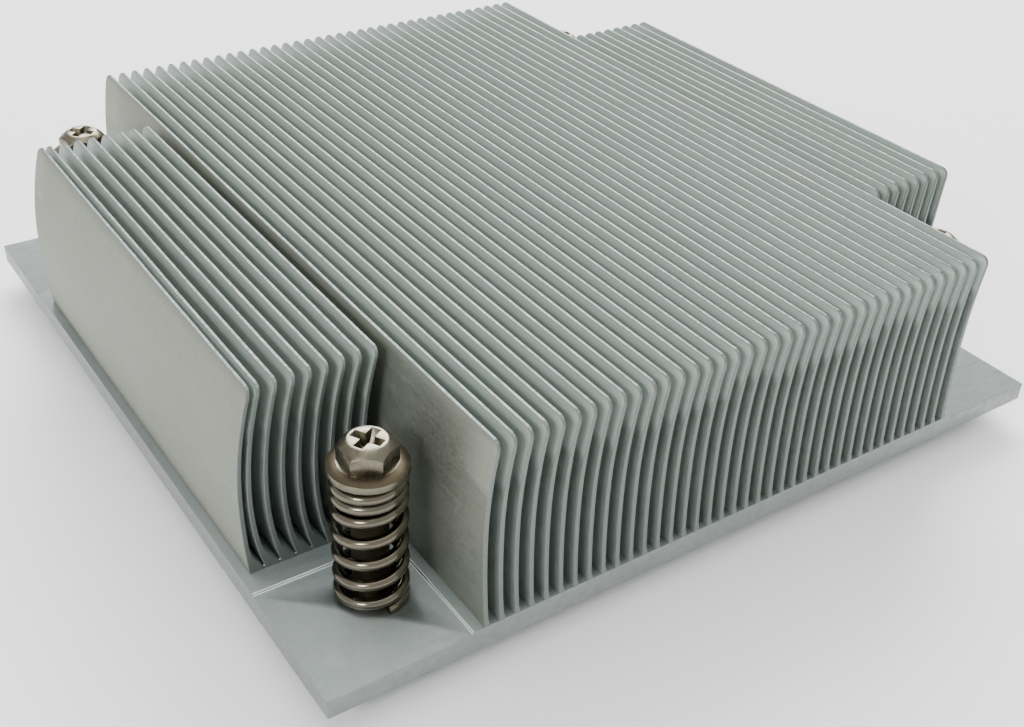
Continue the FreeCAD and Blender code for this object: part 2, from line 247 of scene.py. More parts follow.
class Stage(PropertyGroup):
    """Camera, light and floor."""

    focal: FloatProperty(
        name="Focal length",
        description="Camera lens in millimetres",
        default=45.99,
        unit="CAMERA",
    )
    eye: point("Eye", (-0.08073, -0.11947, 0.0913), "Camera place")
    aim: point("Aim", (-0.01052, -0.02115, 0.01), "Point the camera faces")
    roll: FloatProperty(
        name="Roll",
        description="Camera roll",
        default=math.radians(2.68),
        subtype="ANGLE",
    )
    sky: amount("Sky", 1.1, "Strength of the surrounding light")
    back: power("Back", 28.0, "Power of the large softbox behind")
    overhead: power("Overhead", 3.0, "Power of the softbox above")
    side: power("Side", 1.7, "Power of the small softbox at the left")
    floor: colour("Floor", (0.9, 0.9, 0.9), "Plain floor")


# ---------------------------------------------------------------- modelling


def cast(name, form, materials=(), crease=30.0):
    """Make an object of a finished bmesh, smooth but for edges sharper than the crease."""
    mesh = bpy.data.meshes.new(name)
    form.to_mesh(mesh)
    form.free()
    mesh.shade_smooth()
    mesh.set_sharp_from_angle(angle=math.radians(crease))
    for material in materials:
        mesh.materials.append(material)
    piece = bpy.data.objects.new(name, mesh)
    bpy.context.scene.collection.objects.link(piece)
    return piece


def stock_mesh(name, form):
    """Keep a bmesh as a mesh that pieces are copied from."""
    mesh = bpy.data.meshes.new(name)
    form.to_mesh(mesh)
    form.free()
    return mesh


def join(form, part):
    """Add one bmesh to another as a closed shell of its own."""
    mesh = stock_mesh("part", part)
    form.from_mesh(mesh)
    bpy.data.meshes.remove(mesh)


def carve(form, cutter, operation="DIFFERENCE"):
    """Cut one closed bmesh with another, and return the result as a new bmesh."""
    block, tool = cast("block", form), cast("tool", cutter)
    cut = block.modifiers.new("cut", "BOOLEAN")
    cut.operation = operation
    cut.solver = "EXACT"
    cut.object = tool
    bpy.context.view_layer.update()
    result = bmesh.new()
    result.from_object(block, bpy.context.evaluated_depsgraph_get())
    for spent in (block, tool):
        mesh = spent.data
        bpy.data.objects.remove(spent)
        bpy.data.meshes.remove(mesh)
    bmesh.ops.dissolve_limit(
        result,
        angle_limit=math.radians(FLATNESS),
        verts=result.verts,
        edges=result.edges,
        use_dissolve_boundaries=False,
    )
    return result


def outward(form):
    """Weld doubled points and turn all faces outwards."""
    bmesh.ops.remove_doubles(form, verts=form.verts, dist=WELD)
    bmesh.ops.recalc_face_normals(form, faces=form.faces)


def ease_edges(form, offset, sharper=30.0, segments=1, edges=None):
    """Bevel the edges that turn more sharply than an angle."""
    limit = math.radians(sharper)
    sharp = [e for e in edges or form.edges if e.is_manifold and e.calc_face_angle(0.0) > limit]
    bmesh.ops.bevel(
        form,
        geom=sharp,
        offset=offset,
        offset_type="OFFSET",
        affect="EDGES",
        segments=segments,
        profile=0.5,
        material=-1,
        clamp_overlap=True,
    )


def turn(form, verts, degrees, axis="Z"):
    """Turn vertices about an axis through the origin."""
    matrix = Matrix.Rotation(math.radians(degrees), 3, axis)
    bmesh.ops.rotate(form, verts=verts, cent=(0, 0, 0), matrix=matrix)


def box(form, low, high):
    """Add a closed box between two corners, and return its vertices."""
    low, high = Vector(low), Vector(high)
    made = bmesh.ops.create_cube(form, size=1.0)["verts"]
    bmesh.ops.scale(form, verts=made, vec=high - low)
    bmesh.ops.translate(form, verts=made, vec=(low + high) / 2)
    return made


def turned(outline, steps):
    """Spin an outline of (radius, height) points that starts and ends on the axis into a solid."""
    form = bmesh.new()
    made = [form.verts.new((radius, 0.0, height)) for radius, height in outline]
    edges = [form.edges.new(pair) for pair in zip(made, made[1:])]
    bmesh.ops.spin(
        form,
        geom=made + edges,
        cent=(0, 0, 0),
        axis=(0, 0, 1),
        angle=math.tau,
        steps=steps,
        use_merge=True,
    )
    outward(form)
    return form


def disc(radius, low, high, steps):
    """A plain cylinder on the z axis."""
    return turned([(0.0, low), (radius, low), (radius, high), (0.0, high)], steps)


def wind(form, loop, climb, turns, steps):
    """Sweep a loop of edges up and round the z axis, and return the edges of its far end."""
    wound = bmesh.ops.spin(
        form,
        geom=loop,
        cent=(0, 0, 0),
        axis=(0, 0, 1),
        dvec=(0, 0, climb),
        angle=math.tau * turns,
        steps=steps,
    )
    return [g for g in wound["geom_last"] if isinstance(g, bmesh.types.BMEdge)]


def lean(bend, rise):
    """How far an upright arc of this bend radius has leant over once it has risen this much."""
    return bend - math.sqrt(bend * bend - rise * rise)


def corner_axis(corner):
    """Where a corner's screw stands, on the underside's plane."""
    low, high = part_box(f"screw_{corner}")
    return Vector(((low.x + high.x) / 2, (low.y + high.y) / 2, 0.0))


# ---------------------------------------------------------------- materials


# Places of the colour sockets among a Mix node's inputs and outputs.
MIX_SHARE, MIX_LOW, MIX_HIGH, MIX_RESULT = 0, 6, 7, 2

# How a metal's fine marks, broad waves and grains share in its colour and its gloss, and where
# its stains begin and how quickly they then darken.
MARK_SHADE, WAVE_SHADE = 0.5, 0.5
MARK_GLOSS, GRAIN_GLOSS = 0.2, 0.4
STAIN_START, STAIN_GAIN = 0.45, 4.0

SCUFF = (0.33, 0.33, 0.31)


def group(name, inputs, outputs):
    """Start a shader node group and return it with its input and output nodes."""
    tree = bpy.data.node_groups.new(name, "ShaderNodeTree")
    for label, kind, default in inputs:
        socket = tree.interface.new_socket(label, in_out="INPUT", socket_type=kind)
        if default is not None:
            socket.default_value = default
    for label, kind in outputs:
        tree.interface.new_socket(label, in_out="OUTPUT", socket_type=kind)
    return tree, tree.nodes.new("NodeGroupInput"), tree.nodes.new("NodeGroupOutput")


def feed(tree, socket, value):
    """Link a socket to another node's output, or set it to a value."""
    if isinstance(value, bpy.types.NodeSocket):
        tree.links.new(value, socket)
    else:
        socket.default_value = value


def math_node(tree, operation, *values, clamp=False):
    """Add a Math node and return its output."""
    made = tree.nodes.new("ShaderNodeMath")
    made.operation = operation
    made.use_clamp = clamp
    for socket, value in zip(made.inputs, values):
        feed(tree, socket, value)
    return made.outputs[0]


def noise_node(tree, vector, scale, detail, roughness):
    """Add a Noise Texture node and return its grey output."""
    made = tree.nodes.new("ShaderNodeTexNoise")
    feed(tree, made.inputs["Vector"], vector)
    feed(tree, made.inputs["Scale"], scale)
    feed(tree, made.inputs["Detail"], detail)
    feed(tree, made.inputs["Roughness"], roughness)
    return made.outputs["Fac"]


def stretch_node(tree, vector, scales):
    """Scale coordinates by a different amount each way."""
    made = tree.nodes.new("ShaderNodeVectorMath")
    made.operation = "MULTIPLY"
    feed(tree, made.inputs[0], vector)
    feed(tree, made.inputs[1], scales)
    return made.outputs[0]


def mix_node(tree, share, low, high):
    """Mix two colours."""
    made = tree.nodes.new("ShaderNodeMix")
    made.data_type = "RGBA"
    feed(tree, made.inputs[MIX_SHARE], share)
    feed(tree, made.inputs[MIX_LOW], low)
    feed(tree, made.inputs[MIX_HIGH], high)
    return made.outputs[MIX_RESULT]


def tool_marks_group():
    """Streaks that a blade or cutter leaves: fine lines along one way, with broad waves."""
    tree, taken, given = group(
        "tool_marks",
        [
            ("Vector", "NodeSocketVector", None),
            ("Stretch", "NodeSocketVector", (1.0, 1.0, 1.0)),
            ("Fineness", "NodeSocketFloat", 4000.0),
            ("Broad", "NodeSocketFloat", 300.0),
        ],
        [("Marks", "NodeSocketFloat"), ("Waves", "NodeSocketFloat")],
    )
    drawn = stretch_node(tree, taken.outputs["Vector"], taken.outputs["Stretch"])
    fine = noise_node(tree, drawn, taken.outputs["Fineness"], detail=4.0, roughness=0.6)
    broad = noise_node(tree, drawn, taken.outputs["Broad"], detail=2.0, roughness=0.5)
    feed(tree, given.inputs["Marks"], fine)
    feed(tree, given.inputs["Waves"], broad)
    return tree


def speckle_group():
    """Small bright and dark grains, such as burrs, dust and pits, with a slower stain."""
    tree, taken, given = group(
        "speckle",
        [
            ("Vector", "NodeSocketVector", None),
            ("Grain", "NodeSocketFloat", 2500.0),
            ("Stain", "NodeSocketFloat", 120.0),
        ],
        [("Grains", "NodeSocketFloat"), ("Stains", "NodeSocketFloat")],
    )
    vector = taken.outputs["Vector"]
    grains = noise_node(tree, vector, taken.outputs["Grain"], detail=2.0, roughness=0.7)
    steep = math_node(tree, "MULTIPLY", grains, 3.0)
    sharp = math_node(tree, "SUBTRACT", steep, 1.0, clamp=True)
    stains = noise_node(tree, vector, taken.outputs["Stain"], detail=5.0, roughness=0.6)
    feed(tree, given.inputs["Grains"], sharp)
    feed(tree, given.inputs["Stains"], stains)
    return tree


def use_group(tree, shared, vector, **values):
    """Place a shader node group with values of its own, and return its outputs."""
    made = tree.nodes.new("ShaderNodeGroup")
    made.node_tree = shared
    feed(tree, made.inputs["Vector"], vector)
    for name, value in values.items():
        feed(tree, made.inputs[name], value)
    return made.outputs


def metal(groups, name, base, stain, roughness, stretch, fineness, height, stained,
          spread=0.12, grain=2500.0, grain_share=0.25, patch=120.0):
    """A metal with tool marks in its gloss, colour and relief, and faint stains.

    The marks are stretched by a factor each way and run as fine as said, up to a height, and
    spread is how far they lighten or darken the base. The stains have a patch size and a share.
    """
    material = bpy.data.materials.new(name)
    material.use_nodes = True
    tree = material.node_tree
    shader = tree.nodes["Principled BSDF"]
    shader.inputs["Metallic"].default_value = 1.0
    place = tree.nodes.new("ShaderNodeTexCoord").outputs["Object"]
    marks = use_group(tree, groups["tool_marks"], place, Stretch=stretch, Fineness=fineness)
    specks = use_group(tree, groups["speckle"], place, Grain=grain, Stain=patch)

    shade = math_node(tree, "MULTIPLY", marks["Marks"], MARK_SHADE)
    waves = math_node(tree, "MULTIPLY", marks["Waves"], WAVE_SHADE)
    shade = math_node(tree, "ADD", shade, waves)
    dark = tuple(c * (1.0 - spread) for c in base) + (1.0,)
    light = tuple(min(1.0, c * (1.0 + spread)) for c in base) + (1.0,)
    tone = mix_node(tree, shade, dark, light)
    dirt = math_node(tree, "SUBTRACT", specks["Stains"], STAIN_START, clamp=True)
    dirt = math_node(tree, "MULTIPLY", dirt, stained * STAIN_GAIN, clamp=True)
    tone = mix_node(tree, dirt, tone, tuple(stain) + (1.0,))
    feed(tree, shader.inputs["Base Color"], tone)

    gloss = math_node(tree, "MULTIPLY", marks["Marks"], MARK_GLOSS)
    grains = math_node(tree, "MULTIPLY", specks["Grains"], grain_share * GRAIN_GLOSS)
    gloss = math_node(tree, "ADD", gloss, grains)
    mean = MARK_GLOSS / 2 + grain_share * GRAIN_GLOSS / 2
    gloss = math_node(tree, "ADD", gloss, roughness - mean)
    feed(tree, shader.inputs["Roughness"], gloss)

    relief = math_node(tree, "MULTIPLY", specks["Grains"], grain_share)
    relief = math_node(tree, "ADD", relief, marks["Marks"])
    bumps = tree.nodes.new("ShaderNodeBump")
    bumps.inputs["Strength"].default_value = 1.0
    bumps.inputs["Distance"].default_value = height
    feed(tree, bumps.inputs["Height"], relief)
    feed(tree, shader.inputs["Normal"], bumps.outputs["Normal"])


def make_materials(finishes):
    """Make every metal of the heatsink."""
    groups = {"tool_marks": tool_marks_group(), "speckle": speckle_group()}
    grime = finishes.grime
    even = (1.0, 1.0, 1.0)
    shaved = {
        "roughness": 0.62,
        "stretch": (0.6, 0.05, 1.0),
        "fineness": 3000.0,
        "height": 0.01 * MM,
        "stained": 0.12,
        "spread": 0.10,
    }
    plated = {
        "stretch": even,
        "fineness": 1800.0,
        "height": 0.012 * MM,
        "stained": 0.9,
        "grain": 1500.0,
        "patch": 420.0,
    }
    # Two copies of the shaved aluminium: lighter in the gaps as painted light, darker on free faces
    # as painted shade.
    metal(groups, "shaved_fin_face", finishes.aluminium, SCUFF, **shaved)
    metal(groups, "free_fin_face", finishes.outer, SCUFF, **shaved)
    # Bright step: a painted highlight.
    metal(groups, "bright_step", finishes.edge, SCUFF, roughness=0.40, stretch=even,
          fineness=4000.0, height=0.01 * MM, stained=0.10, spread=0.15)
    # Dark fin tips: painted shade.
    metal(groups, "cut_fin_tip", finishes.cut, SCUFF, roughness=0.45, stretch=(1.0, 0.35, 1.0),
          fineness=3500.0, height=0.03 * MM, stained=0.10, spread=0.38, grain_share=0.5)
    metal(groups, "cut_fin_end", finishes.end, SCUFF, roughness=0.58, stretch=(1.0, 1.0, 0.3),
          fineness=5000.0, height=0.01 * MM, stained=0.10, spread=0.10)
    metal(groups, "milled_floor", finishes.milled, SCUFF, roughness=0.50, stretch=(0.2, 1.0, 1.0),
          fineness=2500.0, height=0.006 * MM, stained=0.45, spread=0.16, patch=260.0)
    metal(groups, "sawn_side", finishes.side, SCUFF, roughness=0.52, stretch=(0.3, 0.3, 1.0),
          fineness=1500.0, height=0.06 * MM, stained=0.25, spread=0.18, grain=900.0,
          grain_share=0.5)
    metal(groups, "ground_underside", finishes.milled, SCUFF, roughness=0.30,
          stretch=(1.0, 0.03, 1.0), fineness=4000.0, height=0.003 * MM, stained=0.08, spread=0.06)
    metal(groups, "nickel_plate", finishes.nickel, grime, roughness=0.30, spread=0.18, **plated)
    # A darker copy of the nickel, for painted shade.
    metal(groups, "tarnished_nickel", finishes.shaded_nickel, grime, roughness=0.42, spread=0.3,
          **plated)
    metal(groups, "spring_wire", finishes.wire, grime, roughness=0.20, stretch=even,
          fineness=2500.0, height=0.004 * MM, stained=0.2, spread=0.1, grain=1500.0)
    metal(groups, "stamped_steel", finishes.steel, grime, roughness=0.32, stretch=(1.0, 0.1, 1.0),
          fineness=3000.0, height=0.005 * MM, stained=0.2, spread=0.1)


def finish_of(name):
    """The named material, made with all the others the first time that one is asked for."""
    if name not in bpy.data.materials:
        make_materials(bpy.context.scene.heatsink_finishes)
    return bpy.data.materials[name]


BODY_FINISHES = (
    # lighter gap faces are painted light; darker free faces are painted shade
    "shaved_fin_face",
    # the tips' dark colour is painted shade
    "cut_fin_tip",
    "cut_fin_end",
    "milled_floor",
    "sawn_side",
    "ground_underside",
    "free_fin_face",
    # the step's bright colour is a painted highlight
    "bright_step",
)
GAP_FACE_LIT, TIP_SHADED, END, FLOOR, SIDE, UNDERSIDE, FREE_FACE_SHADED, HIGHLIGHT_STEP = range(len(BODY_FINISHES))
# The second screw finish is painted shade.
SCREW_FINISHES = ("nickel_plate", "tarnished_nickel")
PAINTED_SHADE = 1


# ---------------------------------------------------------------- body


FIN_CUTS_UP, FIN_CUTS_ALONG = 17, 15
FIN_SETBACK = 0.02 * MM  # keeps the fins' ends off the plate's sides
PLATE_EDGE, LAND_EDGE, FIN_EDGE = 0.09 * MM, 0.08 * MM, 0.06 * MM  # how far edges are eased
FACING, LEVEL = 0.9, 0.7  # part of its normal from which a fin's or a plate's face lies that way
FLARE_POWER = 2.2  # how quickly a fin's foot draws in above the floor
TIP_THINNING = 0.25  # share of its thickness that a fin loses between belly and tip
SWAY, RIPPLE = 0.10 * MM, 0.05 * MM  # how far a tip stands off its place, and waves along it
RIPPLES, BURRS_ALONG, BURRS_ACROSS = 60.0, 400.0, 300.0  # how fine the waves and burrs are
BURR_ZONE = 0.97  # share of a fin's height above which its edge is ragged
SWAY_STEP, RIPPLE_STEP, BURR_STEP = 7.3, 3.1, 5.7  # keep one fin's noise apart from the next
LEFT_OUTER, LEFT, LONG, RIGHT = range(4)

FinShape = namedtuple("FinShape", "floor belly root_bend tip_bend flare flare_height")
FinLayout = namedtuple("FinLayout", "pitch first long_foot right_foot")


def fin_layout(sizes):
    """Fin to fin, and where the feet of the first, the first long and the first right fin stand."""
    first = SINK_LOW.x + sizes.left_margin
    last = SINK_HIGH.x - sizes.right_margin
    pitch = (last - first) / (sizes.left_fins + sizes.long_fins + sizes.right_fins - 1)
    long_foot = first + sizes.left_fins * pitch
    return FinLayout(pitch, first, long_foot, long_foot + sizes.long_fins * pitch)


def edges_along(form, axis):
    """The edges that run for more than a millimetre along an axis."""
    return [e for e in form.edges if abs(e.verts[0].co[axis] - e.verts[1].co[axis]) > MM]


def fin_blank(sizes, wall, shape):
    """One skived fin with its belly at x = 0: a divided box, flared at the foot, then bent."""
    sole, top = sizes.notch_floor, SINK_HIGH.z
    half = sizes.fin / 2
    wall -= FIN_SETBACK
    form = bmesh.new()
    box(form, (-half, -wall, sole), (half, wall, top))
    for axis, cuts in ((2, FIN_CUTS_UP), (1, FIN_CUTS_ALONG)):
        edges = edges_along(form, axis)
        bmesh.ops.subdivide_edges(form, edges=edges, cuts=cuts, use_grid_fill=True)
    corners = [
        e for e in form.edges
        if all(v.co.z > top - NEAR and abs(v.co.y) > wall - NEAR for v in e.verts)
    ]
    ease_edges(form, sizes.corner, segments=4, edges=corners)
    rims = [
        e for e in form.edges
        if e.calc_face_angle(0.0) > 1.0 and max(v.co.z for v in e.verts) > sole + MM / 2
    ]
    ease_edges(form, FIN_EDGE, edges=rims)
    for face in form.faces:
        # Faces turned up take the dark tip colour, which is painted shade.
        if face.normal.z > FACING:
            face.material_index = TIP_SHADED
        elif abs(face.normal.x) < FACING:
            face.material_index = END
    for vert in form.verts:
        up = vert.co.z
        foot = max(0.0, 1.0 - max(0.0, up - shape.floor) / shape.flare_height)
        if vert.co.x > 0:
            vert.co.x += shape.flare * foot ** FLARE_POWER
        above = max(0.0, (up - shape.belly) / (top - shape.belly))
        vert.co.x *= 1.0 - TIP_THINNING * above
        bend = shape.root_bend if up < shape.belly else shape.tip_bend
        vert.co.x += lean(bend, abs(up - shape.belly))
    return form


def fins(form, sizes, run, foot, number, wall, shape, free=False):
    """Add a run of fins, each a little different; the first one's left face may stand free, and
    then takes the darker copy of the shaved aluminium, which is painted shade.
    """
    stock = stock_mesh("fin_blank", fin_blank(sizes, wall, shape))
    first = foot - lean(shape.root_bend, shape.belly - sizes.deck)
    pitch, top = fin_layout(sizes).pitch, SINK_HIGH.z
    for index in range(number):
        fin = bmesh.new()
        fin.from_mesh(stock)
        sway = SWAY * noise.noise(Vector((index * SWAY_STEP, run, 0.0)))
        for vert in fin.verts:
            height = max(0.0, (vert.co.z - shape.floor) / (top - shape.floor))
            ripple = noise.noise(Vector((index * RIPPLE_STEP, vert.co.y * RIPPLES, run)))
            vert.co.x += height * (sway + RIPPLE * ripple)
            if height > BURR_ZONE:
                along, across = vert.co.y * BURRS_ALONG, vert.co.x * BURRS_ACROSS
                burr = noise.noise(Vector((index * BURR_STEP, along, across)))
                vert.co.z -= sizes.tip_ragged * (0.5 + 0.5 * burr)
            vert.co.x += first + index * pitch
        # The free face takes the darker copy of the shaved aluminium: painted shade.
        if free and index == 0:
            fin.normal_update()
            for face in fin.faces:
                if face.material_index == GAP_FACE_LIT and face.normal.x < 0:
                    face.material_index = FREE_FACE_SHADED
        join(form, fin)
    bpy.data.meshes.remove(stock)


def milled_corners(plate, sizes):
    """Mill the plate's four corners down to their floors."""
    side = SINK_HIGH.x
    layout = fin_layout(sizes)
    half = sizes.fin / 2
    left = layout.long_foot - half - sizes.ledge
    right = layout.right_foot - layout.pitch + half + sizes.ledge
    left_step = side - sizes.left_notch + sizes.left_shelf
    right_step = side - sizes.right_notch + sizes.ledge
    low, high = sizes.notch_floor, sizes.deck + OVER
    cutter = bmesh.new()
    for end in (-1, 1):
        for near, far, step in (
            (-side - OVER, left, left_step),
            (right, side + OVER, right_step),
        ):
            reach = sorted((step * end, (side + OVER) * end))
            box(cutter, (near, reach[0], low), (far, reach[1], high))
    return carve(plate, cutter)


def screw_hole(plate, sizes, corner):
    """Bore a stepped screw hole through the plate."""
    cutter = turned([
        (0.0, -OVER),
        (sizes.seat, -OVER),
        (sizes.seat, sizes.seat_depth),
        (sizes.hole, sizes.seat_depth),
        (sizes.hole, sizes.deck + OVER),
        (0.0, sizes.deck + OVER),
    ], steps=48)
    bmesh.ops.translate(cutter, verts=cutter.verts, vec=corner_axis(corner))
    return carve(plate, cutter)


def base_plate(sizes):
    """The plate under the fins: a chamfered underside, milled corners and stepped screw holes."""
    plate = bmesh.new()
    box(plate, (SINK_LOW.x, SINK_LOW.y, 0.0), (SINK_HIGH.x, SINK_HIGH.y, sizes.deck))
    rim = [e for e in plate.edges if max(v.co.z for v in e.verts) < HAIR]
    ease_edges(plate, sizes.edge_break, edges=rim)
    plate = milled_corners(plate, sizes)
    for corner in CORNERS:
        plate = screw_hole(plate, sizes, corner)
    outward(plate)
    ease_edges(plate, PLATE_EDGE, sharper=40.0, segments=2)
    rim = SINK_HIGH.x - 2 * NEAR
    for face in plate.faces:
        up = face.normal.z
        place = face.calc_center_median()
        inside = max(abs(place.x), abs(place.y)) < rim
        between = sizes.notch_floor + HAIR < place.z < sizes.deck
        # The low walls between the corner floors and the deck are painted bright: a painted
        # highlight.
        if inside and between and up < 0.95:
            face.material_index = HIGHLIGHT_STEP
        elif up > LEVEL:
            face.material_index = FLOOR
        elif up < -LEVEL:
            face.material_index = UNDERSIDE
        else:
            face.material_index = SIDE
    return plate


def land_form(sizes, wall):
    """The thicker floor between the left fins, from the outermost one to the first long one."""
    layout = fin_layout(sizes)
    middle = (sizes.deck + sizes.land) / 2
    belly, bend = sizes.left_belly, sizes.outer_root_bend
    near = layout.first - lean(bend, belly - sizes.deck) + lean(bend, belly - middle)
    far = layout.long_foot - lean(sizes.root_bend, sizes.belly - sizes.deck) + sizes.fin / 2
    end = wall - FIN_EDGE
    land = bmesh.new()
    box(land, (near, -end, sizes.notch_floor), (far, end, sizes.land))
    ease_edges(land, LAND_EDGE)
    for face in land.faces:
        face.material_index = FLOOR if face.normal.z > LEVEL else END
    return land


def model_body(sizes):
    """The whole skived body: the plate, the fins in their runs and the floor on the left."""
    form = base_plate(sizes)
    side = SINK_HIGH.y
    layout = fin_layout(sizes)
    left_wall, right_wall = side - sizes.left_notch, side - sizes.right_notch
    slight = (sizes.root_flare, sizes.flare_height)
    broad = (sizes.left_flare, sizes.left_flare_height)
    long = FinShape(sizes.deck, sizes.belly, sizes.root_bend, sizes.tip_bend, *slight)
    right = long._replace(belly=sizes.right_belly, tip_bend=sizes.right_tip_bend)
    left = FinShape(
        sizes.land, sizes.left_belly, sizes.left_root_bend, sizes.left_tip_bend, *broad
    )
    outer = left._replace(root_bend=sizes.outer_root_bend)
    second = layout.first + layout.pitch
    fins(form, sizes, LEFT_OUTER, layout.first, 1, left_wall, outer, free=True)
    fins(form, sizes, LEFT, second, sizes.left_fins - 1, left_wall, left)
    fins(form, sizes, LONG, layout.long_foot, sizes.long_fins, side, long, free=True)
    fins(form, sizes, RIGHT, layout.right_foot, sizes.right_fins, right_wall, right)
    join(form, land_form(sizes, left_wall))
    return form


# ---------------------------------------------------------------- fasteners


TURNED_STEPS = 72
THREAD_STEPS, COIL_STEPS = 28, 44  # per turn
WIRE_SIDES = 18
SHANK_EDGE, HEAD_EDGE, RING_EDGE = 0.12 * MM, 0.09 * MM, 0.05 * MM  # how far edges are eased
LEAD_IN = 0.35 * MM  # chamfer on the screw's end
BRIGHT_RIM = 0.35 * MM  # band round the flange that keeps the plain nickel, outside the painted shade
RIDGE_SUNK = 0.05 * MM  # how deep the thread's ridge sits in its root
RIDGE_HALF, CREST = 0.42, 0.15  # half the ridge's foot to its pitch, and the crest to that
CROWN_START = 0.8  # share of the crown's radius from which it starts to fall
RECESS_TAPER = (0.55, 0.75)  # share of the recess's length and width left at its bottom
CLOSED_PITCH, COIL_EASE = 1.03, 0.15  # wires from coil to coil where closed; turns to open up
GROUND = 0.25  # share of the wire that is ground off each end of a spring
RELIEF_ANGLE = 15.0


def screw_levels(sizes):
    """Heights of a flange's underside, of its rim and of the hexagon's foot."""
    under = SPRING_HIGH.z
    rim = under + sizes.flange_rim
    return under, rim, rim + sizes.flange_rise


def shank_form(sizes):
    """Threaded end, ring groove, shank and flange, turned in one piece on the z axis."""
    tip = SCREW_LOW.z
    under, rim, rise = screw_levels(sizes)
    form = turned([
        (0.0, tip),
        (sizes.thread_root - LEAD_IN, tip),
        (sizes.thread_root, tip + LEAD_IN),
        (sizes.thread_root, sizes.thread_top),
        (sizes.groove, sizes.thread_top),
        (sizes.groove, sizes.groove_top),
        (sizes.shank, sizes.groove_top),
        (sizes.shank, under),
        (sizes.flange, under),
        (sizes.flange, rim),
        (sizes.hexagon / math.sqrt(3), rise),
        (0.0, rise),
    ], TURNED_STEPS)
    ease_edges(form, SHANK_EDGE, sharper=25.0, segments=2)
    ridge(form, sizes, tip + LEAD_IN * 0.6, sizes.thread_top)
    return form


def ridge(form, sizes, low, high):
    """Wind the thread's ridge round its root."""
    deep = sizes.thread_root - RIDGE_SUNK
    half = sizes.thread_pitch * RIDGE_HALF
    turns = (high - low - 2 * half) / sizes.thread_pitch
    made = [
        form.verts.new((deep, 0.0, low)),
        form.verts.new((sizes.thread, 0.0, low + half * (1.0 - CREST))),
        form.verts.new((sizes.thread, 0.0, low + half * (1.0 + CREST))),
        form.verts.new((deep, 0.0, low + 2 * half)),
    ]
    loop = [form.edges.new(pair) for pair in zip(made, made[1:] + made[:1])]
    form.faces.new(made)
    climb = sizes.thread_pitch / THREAD_STEPS
    last = wind(form, loop, climb, turns, round(THREAD_STEPS * turns))
    bmesh.ops.contextual_create(form, geom=last)
    bmesh.ops.recalc_face_normals(form, faces=form.faces)


def crown_form(sizes, rim, corner):
    """The rounded shape that the top of the hexagon is turned to."""
    top = SCREW_HIGH.z
    start = sizes.crown * CROWN_START
    slope = sizes.crown_drop / (sizes.hexagon / 2 - start)
    # Radius, and how far the crown has fallen there against an even slope.
    falls = ((sizes.flange, 1.15), (corner, 1.05), (sizes.crown, 0.75), (sizes.crown * 0.9, 0.4))
    return turned([
        (0.0, rim - MM),
        (sizes.flange, rim - MM),
        *((radius, top - (radius - start) * slope * share) for radius, share in falls),
        (sizes.crown * 0.75, top),
        (0.0, top),
    ], TURNED_STEPS)


def recess_slot(sizes, across):
    """A cutter for one of the two tapered slots of the cross recess."""
    top = SCREW_HIGH.z
    cutter = bmesh.new()
    reach, slot = sizes.recess / 2, sizes.slot / 2
    made = box(cutter, (-reach, -slot, top - sizes.recess_depth), (reach, slot, top + MM))
    for vert in made:
        for axis, kept in enumerate(RECESS_TAPER):
            grown = 1.0 + (1.0 - kept) * MM / sizes.recess_depth
            vert.co[axis] *= kept if vert.co.z < top else grown
    if across:
        turn(cutter, made, 90.0)
    outward(cutter)
    return cutter


def head_form(sizes):
    """The hexagon with its rounded crown and cross recess."""
    _, rim, _ = screw_levels(sizes)
    top = SCREW_HIGH.z
    corner = sizes.hexagon / math.sqrt(3)
    head = bmesh.new()
    made = bmesh.ops.create_circle(head, cap_ends=True, segments=6, radius=corner)["verts"]
    turn(head, made, 30.0)
    bmesh.ops.translate(head, verts=made, vec=(0, 0, rim))
    grown = bmesh.ops.extrude_face_region(head, geom=head.faces[:])["geom"]
    lifted = [g for g in grown if isinstance(g, bmesh.types.BMVert)]
    bmesh.ops.translate(head, verts=lifted, vec=(0, 0, top - rim))
    outward(head)
    head = carve(head, crown_form(sizes, rim, corner), "INTERSECT")
    for across in (False, True):
        head = carve(head, recess_slot(sizes, across))
    outward(head)
    ease_edges(head, HEAD_EDGE, sharper=25.0, segments=2)
    return head


def screw_form(sizes):
    """A captive screw on the z axis, with painted shade on its shank and on the flange's slope."""
    form = shank_form(sizes)
    join(form, head_form(sizes))
    under, _, rise = screw_levels(sizes)
    for face in form.faces:
        place = face.calc_center_median()
        across = math.hypot(place.x, place.y)
        # The flange's slope and the shank take the darker nickel: painted shade.
        sloping = face.normal.z > 0.5 and place.z < rise and across < sizes.flange - BRIGHT_RIM
        below = place.z < under - HAIR and across < sizes.shank + NEAR
        if sloping or below:
            face.material_index = PAINTED_SHADE
    return form


